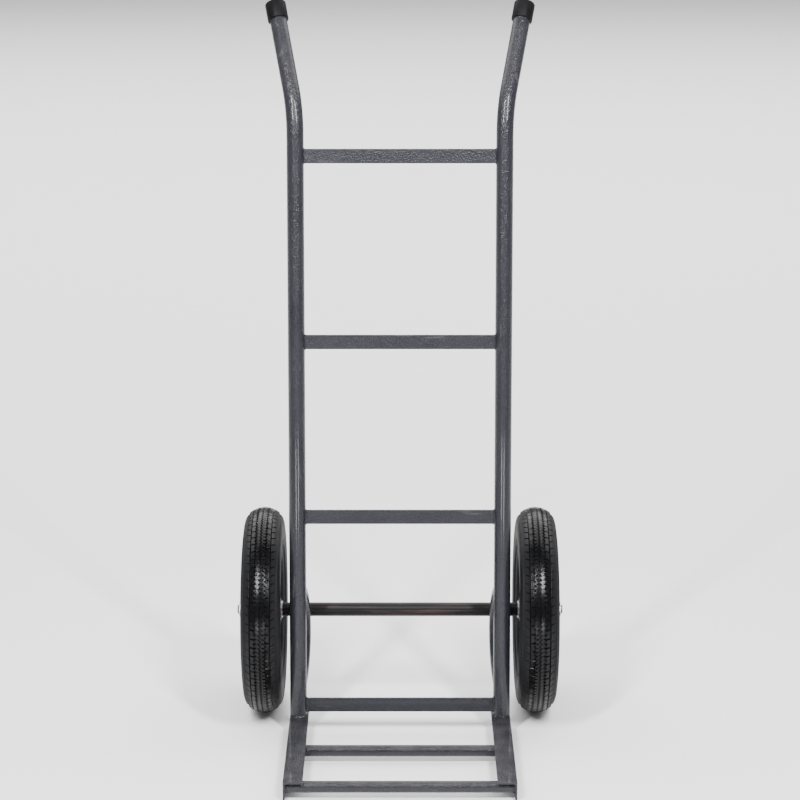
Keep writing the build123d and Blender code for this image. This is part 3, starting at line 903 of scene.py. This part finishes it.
def weld(name, path, size, rng):
    """A closed rippled bead. The path gives each ring's point, the way that the bead stands up there and
    its share of the full size."""
    count = len(path)
    deselect()
    bpy.ops.mesh.primitive_torus_add(
        major_segments=count,
        minor_segments=8,
        major_radius=1.0,
        minor_radius=BEAD_START,
        generate_uvs=False,
    )
    piece = start(name)
    swell = [
        0.86 + 0.22 * (1 - (ring / RIPPLE_RINGS) % 1) + rng.uniform(-0.05, 0.05) for ring in range(count)
    ]
    rings = []
    for ring, (point, up, share) in enumerate(path):
        ahead = path[(ring + 1) % count][0] - path[ring - 1][0]
        across = ahead.cross(up).normalized() * size * share * swell[ring]
        rings.append((point, across, up.normalized() * size * share * swell[ring]))

    def lay_on_path(co):
        ring = round(math.atan2(co.y, co.x) / (2 * math.pi) * count) % count
        point, across, up = rings[ring]
        sideways = (math.hypot(co.x, co.y) - 1) / BEAD_START
        return point + across * sideways + up * (co.z / BEAD_START) * BEAD_HEIGHT

    shift_points(piece, lay_on_path)
    seal()
    smooth(piece, math.radians(60))
    return piece


def ring_count(around, ripple):
    """Rings of points in a bead of a length, with at least six ripples."""
    return RIPPLE_RINGS * max(6, round(around / ripple))


def behind_turned_in(toe_in):
    """Straight behind the right side tube, turned in towards the middle of the truck."""
    return BEHIND_TUBE * math.cos(toe_in) - Vector((1, 0, 0)) * math.sin(toe_in)


def crossbar_weld(sizes, rng):
    """The weld round the right end of the top crossbar. The other crossbars have copies of it."""
    low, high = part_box("top_crossbar")
    centre = middle("top_crossbar")
    # The box of a leaning bar gives its height and thickness.
    lean_cos, lean_sin = ALONG_TUBE.z, ALONG_TUBE.y
    deep, tall = high.y - low.y, high.z - low.z
    half_tall = (tall * lean_cos - deep * lean_sin) / (lean_cos**2 - lean_sin**2) / 2
    half_thick = (deep * lean_cos - tall * lean_sin) / (lean_cos**2 - lean_sin**2) / 2
    tube_x = TUBE_INSIDE + sizes.tube_radius
    around = 4 * (half_tall + half_thick)
    count = ring_count(around, sizes.ripple)
    path = []
    for ring in range(count):
        turn = 2 * math.pi * ring / count
        # A flat oval: straight up and down the faces, round over the edges.
        tall_share = math.copysign(min(1.0, abs(1.25 * math.sin(turn))), math.sin(turn))
        thick_share = math.copysign(min(1.0, abs(2.6 * math.cos(turn))), math.cos(turn))
        behind = half_thick * thick_share
        above = half_tall * tall_share
        surface = tube_x - math.sqrt(sizes.tube_radius**2 - behind**2)
        point = Vector((surface, centre.y, centre.z)) + BEHIND_TUBE * behind + ALONG_TUBE * above
        out = BEHIND_TUBE * math.cos(turn) + ALONG_TUBE * math.sin(turn) - Vector((1, 0, 0)) * 0.8
        path.append((point, out, 1.0))
    return weld("crossbar_weld", path, sizes.small_bead, rng)


def foot_weld(sizes, rng):
    """The weld round the foot of the right side tube, thinner where the tube is flush with the rail."""
    foot = tube_foot(1, sizes.tube_radius)
    count = ring_count(2 * math.pi * sizes.tube_radius, sizes.ripple)
    path = []
    for ring in range(count):
        turn = 2 * math.pi * ring / count
        out = Vector((math.cos(turn), math.sin(turn), 0))
        flush = max(0.0, math.cos(turn)) ** 3
        reach = sizes.tube_radius - 0.0010 * flush
        point = foot + Vector((out.x * reach, out.y * reach / ALONG_TUBE.z, 0))
        path.append((point, out + Vector((0, 0, 1)), 1.0 - 0.75 * flush))
    return weld("foot_weld", path, sizes.bead, rng)


def bracket_end_weld(sizes, height, rng):
    """The weld where an end of the right axle bracket meets its side tube."""
    foot = tube_foot(1, sizes.tube_radius)
    back = behind_turned_in(sizes.bracket_toe_in)
    sideways = back.cross(ALONG_TUBE).normalized()
    count = ring_count(2 * math.pi * sizes.bracket_radius, sizes.ripple)
    path = []
    for ring in range(count):
        turn = 2 * math.pi * ring / count
        out = sideways * math.cos(turn) + ALONG_TUBE * math.sin(turn)
        aside = sizes.bracket_radius * math.cos(turn)
        depth = math.sqrt(sizes.tube_radius**2 - aside**2)
        point = foot + ALONG_TUBE * height + out * sizes.bracket_radius + back * depth
        path.append((point, out + back, 1.0))
    return weld("bracket_end_weld", path, sizes.bead, rng)


def bracket_saddle_weld(sizes, rng):
    """The weld between the bend of the right bracket and the axle tube."""
    foot = tube_foot(1, sizes.tube_radius)
    bow_middle = foot + ALONG_TUBE * (sizes.bracket_low + sizes.bracket_high) / 2
    axle = middle("axle_tube")
    low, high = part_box("axle_tube")
    axle_radius = (high.z - low.z) / 2
    towards = axle - bow_middle
    towards.x = 0
    gap = towards.length - axle_radius
    towards.normalize()
    contact = bow_middle + towards * gap
    contact.x -= gap * math.tan(sizes.bracket_toe_in) * towards.dot(BEHIND_TUBE)
    upwards = towards.cross(Vector((1, 0, 0))).normalized()
    reach = 0.0068
    saddle = 0.00055  # how far the bead bends to follow the axle tube
    count = ring_count(2 * math.pi * reach, sizes.ripple)
    path = []
    for ring in range(count):
        turn = 2 * math.pi * ring / count
        out = Vector((1, 0, 0)) * math.cos(turn) + upwards * math.sin(turn)
        lift = saddle * (math.cos(turn) ** 2 - math.sin(turn) ** 2)
        path.append((contact + out * reach + towards * lift, out, 1.15))
    return weld("bracket_saddle_weld", path, sizes.bead, rng)


def toe_bar_weld(sizes, node, rng):
    """The weld round the right end of a toe bar, against the upright leg of the rail."""
    low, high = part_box(node)
    radius = (high.z - low.z) / 2
    count = ring_count(2 * math.pi * radius, sizes.ripple)
    end = Vector((high.x, (low.y + high.y) / 2, (low.z + high.z) / 2))
    inwards = Vector((-1, 0, 0))
    path = []
    for ring in range(count):
        turn = 2 * math.pi * ring / count
        out = Vector((0, math.cos(turn), math.sin(turn)))
        under_leg = max(0.0, math.sin(turn)) ** 4
        off_leg = 0.0016 + 0.0022 * under_leg
        sunk = 0.0008 + 0.0012 * under_leg
        point = end + inwards * off_leg + out * (radius - sunk)
        path.append((point, out + inwards, 1.0 - 0.5 * under_leg))
    return weld("toe_bar_weld", path, sizes.bead, rng)


class HANDTRUCK_OT_welds(bpy.types.Operator):
    """Lay the rippled weld beads at every joint of the frame"""

    bl_idname = "hand_truck.welds"
    bl_label = "Welds"

    def execute(self, context):
        sizes = context.scene.hand_truck_sizes
        rng = random.Random(41)
        beads = {}
        pattern = crossbar_weld(sizes, rng)
        for bar in CROSSBARS:
            beads[f"{bar}_weld"] = copy_to(
                pattern, "bead", Matrix.Translation(middle(bar) - middle("top_crossbar"))
            )
        remove(pattern)
        beads["tube_foot_weld"] = foot_weld(sizes, rng)
        beads["bracket_low_weld"] = bracket_end_weld(sizes, sizes.bracket_low, rng)
        beads["bracket_high_weld"] = bracket_end_weld(sizes, sizes.bracket_high, rng)
        beads["bracket_saddle_weld"] = bracket_saddle_weld(sizes, rng)
        for bar in TOE_BARS:
            beads[f"{bar}_weld"] = toe_bar_weld(sizes, bar, rng)
        for name, bead in beads.items():
            for hand, side in SIDES.items():
                piece = copy_to(bead, f"{hand}_{name}", Matrix.Scale(side, 4, (1, 0, 0)))
                finish_piece(piece, "frame", "frame_paint", "weld_enamel")
            remove(bead)
        return {"FINISHED"}


# ---- handle caps ----


class HANDTRUCK_OT_handle_caps(bpy.types.Operator):
    """Make the moulded caps on the ends of the handles"""

    bl_idname = "hand_truck.handle_caps"
    bl_label = "Handle caps"

    def execute(self, context):
        sizes = context.scene.hand_truck_sizes
        mounts = {mount["name"]: mount for mount in frame["record"]["mounts"]}
        for hand in SIDES:
            mount = mounts[f"{hand}_handle_end"]
            axis = Vector(mount["axis"]).normalized()
            node = frame["nodes"][f"{hand}_handle_cap"]
            reach = [axis.dot(point.co) for point in node.data.vertices]
            centre = Vector(mount["pos_m"])
            foot = centre + axis * (min(reach) - axis.dot(centre))
            piece = self.make_cap(sizes, mount["dims"]["r_mm"] / 1000, max(reach) - min(reach))
            turn = axis.to_track_quat("Z", "Y").to_matrix().to_4x4()
            piece.data.transform(Matrix.Translation(foot) @ turn)
            piece.name = f"{hand}_moulded_cap"
            finish_piece(piece, "frame", "handle_cap", "cap_rubber", f"{hand}_handle_cap")
        return {"FINISHED"}

    def make_cap(self, sizes, radius, height):
        """A cup that stands mouth down on the origin, with a small lip, a soft edge and a dished end."""
        edge = 0.0026
        lip_round = 0.0005
        # The rings of the dished end: each one's share of the last, and how far it drops.
        dish = ((0.82, 0.0), (0.93, -0.0004), (0.80, -0.0001))
        deselect()
        bpy.ops.mesh.primitive_cylinder_add(
            vertices=72, radius=radius, depth=height, location=(0, 0, height / 2)
        )
        piece = start("moulded_cap")
        pick(piece, "faces", lambda face: face.normal.z > 0.9)
        bpy.ops.mesh.bevel(offset=edge, segments=5, affect="EDGES")
        pick(piece, "faces", lambda face: face.normal.z > 0.9 and face.calc_area() > radius**2)
        for shrink, drop in dish:
            extrude((0, 0, drop))
            bpy.ops.transform.resize(value=(shrink, shrink, 1), center_override=(0, 0, height))
        # The mouth: a rolled lip outside, and a socket for the tube inside.
        pick(piece, "faces", lambda face: face.normal.z < -0.9)
        bpy.ops.mesh.bevel(offset=lip_round, segments=2, affect="EDGES")
        pick(piece, "faces", lambda face: face.normal.z < -0.9 and face.calc_area() > radius**2)
        mouth = (radius - sizes.cap_wall) / (radius - lip_round)
        extrude((0, 0, 0))
        bpy.ops.transform.resize(value=(mouth, mouth, 1), center_override=(0, 0, 0))
        extrude((0, 0, height - sizes.cap_wall))
        seal()
        smooth(piece)
        return piece


# ---- nuts, bolts and rod ends ----

THREAD_PAST_NUT = 0.002  # how far a thread runs in beyond its nut


def hexagon(name, flats, height, bore):
    """A hexagon from the origin along +X with its corners turned down at both faces, and its bore."""
    corner = flats / math.sqrt(3)
    crown = flats / 2 * 0.96  # radius of the round face that the corners are turned down to
    drop = (corner - crown) * math.tan(math.radians(30))
    sides_up = {"rotation": (0, math.pi / 2, 0), "location": (height / 2, 0, 0)}
    deselect()
    bpy.ops.mesh.primitive_cylinder_add(vertices=6, radius=corner, depth=height, **sides_up)
    piece = start(name)
    bpy.ops.object.mode_set(mode="OBJECT")

    deselect()
    bpy.ops.mesh.primitive_cylinder_add(vertices=72, radius=crown, depth=height, **sides_up)
    blank = start("turned_blank")
    for at in (drop, height - drop):
        bpy.ops.mesh.select_all(action="SELECT")
        bpy.ops.mesh.bisect(plane_co=(at, 0, 0), plane_no=(1, 0, 0))
    pick(blank, "verts", lambda v: drop / 2 < v.co.x < height - drop / 2)
    grow = corner * 1.002 / crown  # just clear of the corners
    bpy.ops.transform.resize(value=(1, grow, grow), center_override=(height / 2, 0, 0))
    seal()
    modify(piece, "BOOLEAN", operation="INTERSECT", object=blank, solver="EXACT")
    remove(blank)

    if bore:
        deselect()
        bpy.ops.mesh.primitive_cylinder_add(vertices=48, radius=bore, depth=3 * height, **sides_up)
        cutter = start("bore_cutter")
        seal()
        modify(piece, "BOOLEAN", operation="DIFFERENCE", object=cutter, solver="EXACT")
        remove(cutter)
    take(piece)
    bpy.ops.object.mode_set(mode="EDIT")
    seal()
    smooth(piece, math.radians(28))
    return piece


def thread(name, radius, length, pitch):
    """A threaded end from the origin along +X, with a chamfered tip."""
    deep = 0.61 * pitch
    flank, root = 0.44 * pitch, 0.12 * pitch
    inner = (radius - deep) / radius
    deselect()
    bpy.ops.mesh.primitive_circle_add(
        vertices=40, radius=radius, fill_type="NGON", rotation=(0, math.pi / 2, 0)
    )
    piece = start(name)
    bpy.ops.mesh.select_all(action="SELECT")
    turns = int(length / pitch)
    tip = length - turns * pitch
    for _ in range(turns):
        extrude((flank, 0, 0))
        bpy.ops.transform.resize(value=(1, inner, inner), center_override=(0, 0, 0))
        extrude((root, 0, 0))
        extrude((flank, 0, 0))
        bpy.ops.transform.resize(value=(1, 1 / inner, 1 / inner), center_override=(0, 0, 0))
    extrude((tip, 0, 0))
    bpy.ops.transform.resize(value=(1, inner, inner), center_override=(0, 0, 0))
    seal()
    smooth(piece, math.radians(25))
    return piece


def plain_shank(name, radius, length):
    """A plain round shank from the origin along +X, with its edges eased."""
    deselect()
    bpy.ops.mesh.primitive_cylinder_add(
        vertices=40,
        radius=radius,
        depth=length,
        rotation=(0, math.pi / 2, 0),
        location=(length / 2, 0, 0),
    )
    piece = start(name)
    pick(piece, "faces", lambda face: abs(face.normal.x) > 0.9)
    bpy.ops.mesh.bevel(offset=radius * 0.05, segments=2, affect="EDGES")
    seal()
    smooth(piece)
    return piece


def round_the_hub(pattern, name, sizes, count=4):
    """Copies of a fastener, evenly round the hub, as one piece."""
    copies = []
    for number in range(count):
        turn = Matrix.Rotation(math.pi / 4 + number * 2 * math.pi / count, 4, "X")
        place = turn @ Matrix.Translation((0, 0, sizes.bolt_circle))
        copies.append(copy_to(pattern, f"{name}_{number}", place))
    remove(pattern)
    return join(name, copies)


class HANDTRUCK_OT_fasteners(bpy.types.Operator):
    """Make the rim bolts and nuts, the axle nuts and the axle rod with its threaded ends"""

    bl_idname = "hand_truck.fasteners"
    bl_label = "Fasteners"

    def execute(self, context):
        sizes = context.scene.hand_truck_sizes
        hub = middle("right_tyre")
        self.rim_fasteners(sizes, hub)
        self.axle_fasteners(sizes, hub)
        return {"FINISHED"}

    def rim_fasteners(self, sizes, hub):
        bolts_low, bolts_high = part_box("right_rim_bolts")
        nuts_low, nuts_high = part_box("right_rim_nuts")
        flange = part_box("right_hub")
        head_foot = self.flange_face(hub, flange)
        head = hexagon("bolt_head", sizes.bolt_flats, bolts_high.x - hub.x - head_foot, 0)
        head.data.transform(Matrix.Translation((head_foot, 0, 0)))
        thread_end = hub.x - bolts_low.x
        thread_start = hub.x - nuts_low.x - THREAD_PAST_NUT
        grip = plain_shank("bolt_grip", sizes.bolt_radius, head_foot + thread_start)
        grip.data.transform(Matrix.Translation((-thread_start, 0, 0)))
        end = thread("bolt_thread", sizes.bolt_radius, thread_end - thread_start, sizes.bolt_pitch)
        end.data.transform(Matrix.Translation((-thread_start, 0, 0)) @ Matrix.Rotation(math.pi, 4, "Z"))
        bolts = round_the_hub(join("bolt", [head, grip, end]), "cut_rim_bolts", sizes)

        nut = hexagon("nut", sizes.bolt_flats, nuts_high.x - nuts_low.x, sizes.bolt_radius)
        nut.data.transform(Matrix.Translation((nuts_low.x - hub.x, 0, 0)))
        nuts = round_the_hub(nut, "cut_rim_nuts", sizes)
        for hand, side in SIDES.items():
            for pattern, node in ((bolts, "rim_bolts"), (nuts, "rim_nuts")):
                piece = copy_to(pattern, f"{hand}_{pattern.name}", wheel_place(side))
                finish_piece(piece, f"{hand}_wheel", "zinc_plate", "zinc_plate", f"{hand}_{node}")
        remove(bolts)
        remove(nuts)

    def flange_face(self, hub, flange):
        """Outer face of the hub's flange, from the middle of the wheel: the outermost wide ring."""
        radius = (flange[1].z - flange[0].z) / 2
        points = [point.co - hub for point in frame["nodes"]["right_hub"].data.vertices]
        return max(p.x for p in points if math.hypot(p.y, p.z) > 0.9 * radius)

    def axle_fasteners(self, sizes, hub):
        low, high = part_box("right_axle_nut")
        rod_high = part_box("axle_rod")[1]
        nut = hexagon("axle_nut_pattern", sizes.nut_flats, high.x - low.x, sizes.rod_radius)
        nut.data.transform(Matrix.Translation((low.x - hub.x, 0, 0)))
        for hand, side in SIDES.items():
            piece = copy_to(nut, f"{hand}_cut_axle_nut", wheel_place(side))
            finish_piece(piece, "frame", "zinc_plate", "zinc_plate", f"{hand}_axle_nut")
        remove(nut)

        thread_foot = low.x - THREAD_PAST_NUT
        shank = plain_shank("axle_shank", sizes.rod_radius, 2 * thread_foot)
        shank.data.transform(Matrix.Translation((-thread_foot, 0, 0)))
        ends = []
        for side in SIDES.values():
            end = thread("rod_thread", sizes.rod_radius, rod_high.x - thread_foot, sizes.rod_pitch)
            end.data.transform(Matrix.Translation((thread_foot, 0, 0)))
            if side < 0:
                end.data.transform(Matrix.Rotation(math.pi, 4, "Z"))
            ends.append(end)
        rod = join("cut_axle_rod", [shank, *ends])
        rod.data.transform(Matrix.Translation((0, hub.y, hub.z)))
        finish_piece(rod, "frame", "axle_steel", "drawn_steel", "axle_rod")


# ---- panel and run ----

STEPS = (
    HANDTRUCK_OT_camera,
    HANDTRUCK_OT_stage,
    HANDTRUCK_OT_finishes,
    HANDTRUCK_OT_tyres,
    HANDTRUCK_OT_welds,
    HANDTRUCK_OT_handle_caps,
    HANDTRUCK_OT_fasteners,
)


class HANDTRUCK_PT_panel(bpy.types.Panel):
    """Lists the steps and their sizes and colours"""

    bl_label = "Hand truck"
    bl_idname = "HANDTRUCK_PT_panel"
    bl_space_type = "VIEW_3D"
    bl_region_type = "UI"
    bl_category = "Hand truck"

    def draw(self, context):
        for step in STEPS:
            self.layout.operator(step.bl_idname)
        for settings in SETTINGS:
            box = self.layout.box()
            for name in SETTINGS[settings].__annotations__:
                box.prop(getattr(context.scene, settings), name)


SETTINGS = {
    "hand_truck_tyre": HandTruckTyre,
    "hand_truck_sizes": HandTruckSizes,
    "hand_truck_colours": HandTruckColours,
    "hand_truck_stage": HandTruckStage,
}


def register():
    for kind in (*SETTINGS.values(), *STEPS, HANDTRUCK_PT_panel):
        bpy.utils.register_class(kind)
    for name, kind in SETTINGS.items():
        setattr(bpy.types.Scene, name, PointerProperty(type=kind))


def unregister():
    for name in SETTINGS:
        delattr(bpy.types.Scene, name)
    for kind in reversed((*SETTINGS.values(), *STEPS, HANDTRUCK_PT_panel)):
        bpy.utils.unregister_class(kind)


def main():
    register()
    deselect()
    bpy.ops.hand_truck.camera()
    bpy.ops.hand_truck.stage()
    bpy.ops.hand_truck.finishes()
    bpy.ops.hand_truck.tyres()
    bpy.ops.hand_truck.welds()
    bpy.ops.hand_truck.handle_caps()
    bpy.ops.hand_truck.fasteners()


if __name__ == "__main__":
    main()
